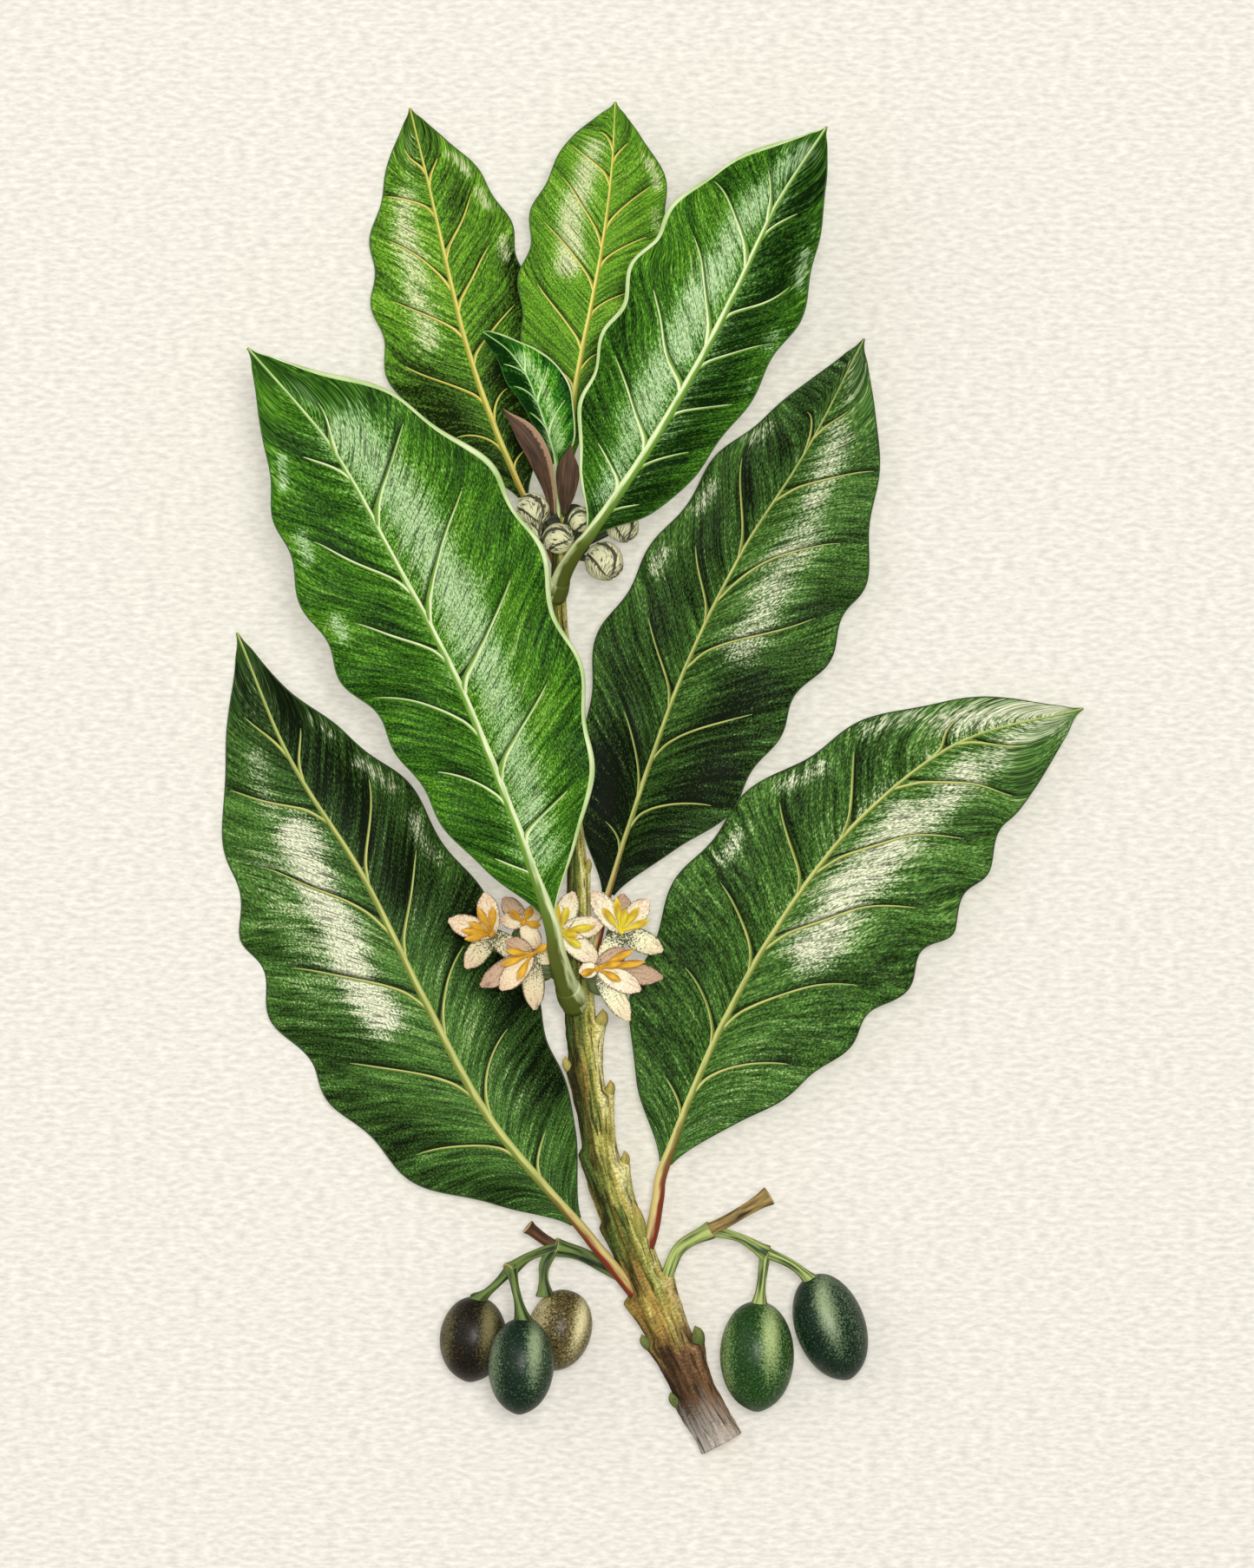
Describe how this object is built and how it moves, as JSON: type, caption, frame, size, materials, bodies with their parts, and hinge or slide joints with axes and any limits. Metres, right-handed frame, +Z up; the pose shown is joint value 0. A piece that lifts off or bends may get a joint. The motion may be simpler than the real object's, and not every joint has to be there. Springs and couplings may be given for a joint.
{
  "type": "bay laurel branch",
  "caption": "Cut bay laurel branch lying flat: leathery wavy-edged leaves on a woody stem, with pale flowers, round buds and oval berries.",
  "frame": {"origin": "on the surface the branch lies on, below the middle of its bounding box", "axes": "+Y runs along the branch from the cut end of the stem to its tip, +Z is up from the surface, +X is to the right seen from above with the tip away from the viewer"},
  "size_m": [0.1188, 0.1864, 0.0279],
  "materials": {
    "bark": "matte",
    "leaf_mature": "satin",
    "leaf_young": "satin",
    "bract": "matte",
    "bud": "matte",
    "tepal": "matte",
    "stamen": "matte",
    "stalk": "matte",
    "berry_green": "satin",
    "berry_dark": "satin",
    "berry_ripening": "satin"
  },
  "bodies": {
    "root": {"stem": "bark", "leaf_lower_left": "leaf_mature", "leaf_lower_right": "leaf_mature", "leaf_front": "leaf_mature", "leaf_right": "leaf_mature", "leaf_top_right": "leaf_mature", "leaf_top_left": "leaf_young", "leaf_top_middle": "leaf_young", "leaf_young": "leaf_young", "bract_left": "bract", "bract_right": "bract", "bud_cluster_left": "bud", "bud_cluster_right": "bud", "bloom_1_tepals": "tepal", "bloom_2_tepals": "tepal", "bloom_3_tepals": "tepal", "bloom_4_tepals": "tepal", "bloom_5_tepals": "tepal", "bloom_6_tepals": "tepal", "bloom_1_stamens": "stamen", "bloom_2_stamens": "stamen", "bloom_3_stamens": "stamen", "bloom_4_stamens": "stamen", "bloom_5_stamens": "stamen", "bloom_6_stamens": "stamen", "flower_stalks_left": "stalk", "flower_stalks_right": "stalk", "fruit_stalk_left": "stalk", "fruit_stalk_right": "stalk", "berry_left_back": "berry_ripening", "berry_left_right": "berry_ripening", "berry_left_front": "berry_dark", "berry_right_inner": "berry_green", "berry_right_outer": "berry_dark"}
  },
  "joints": []
}
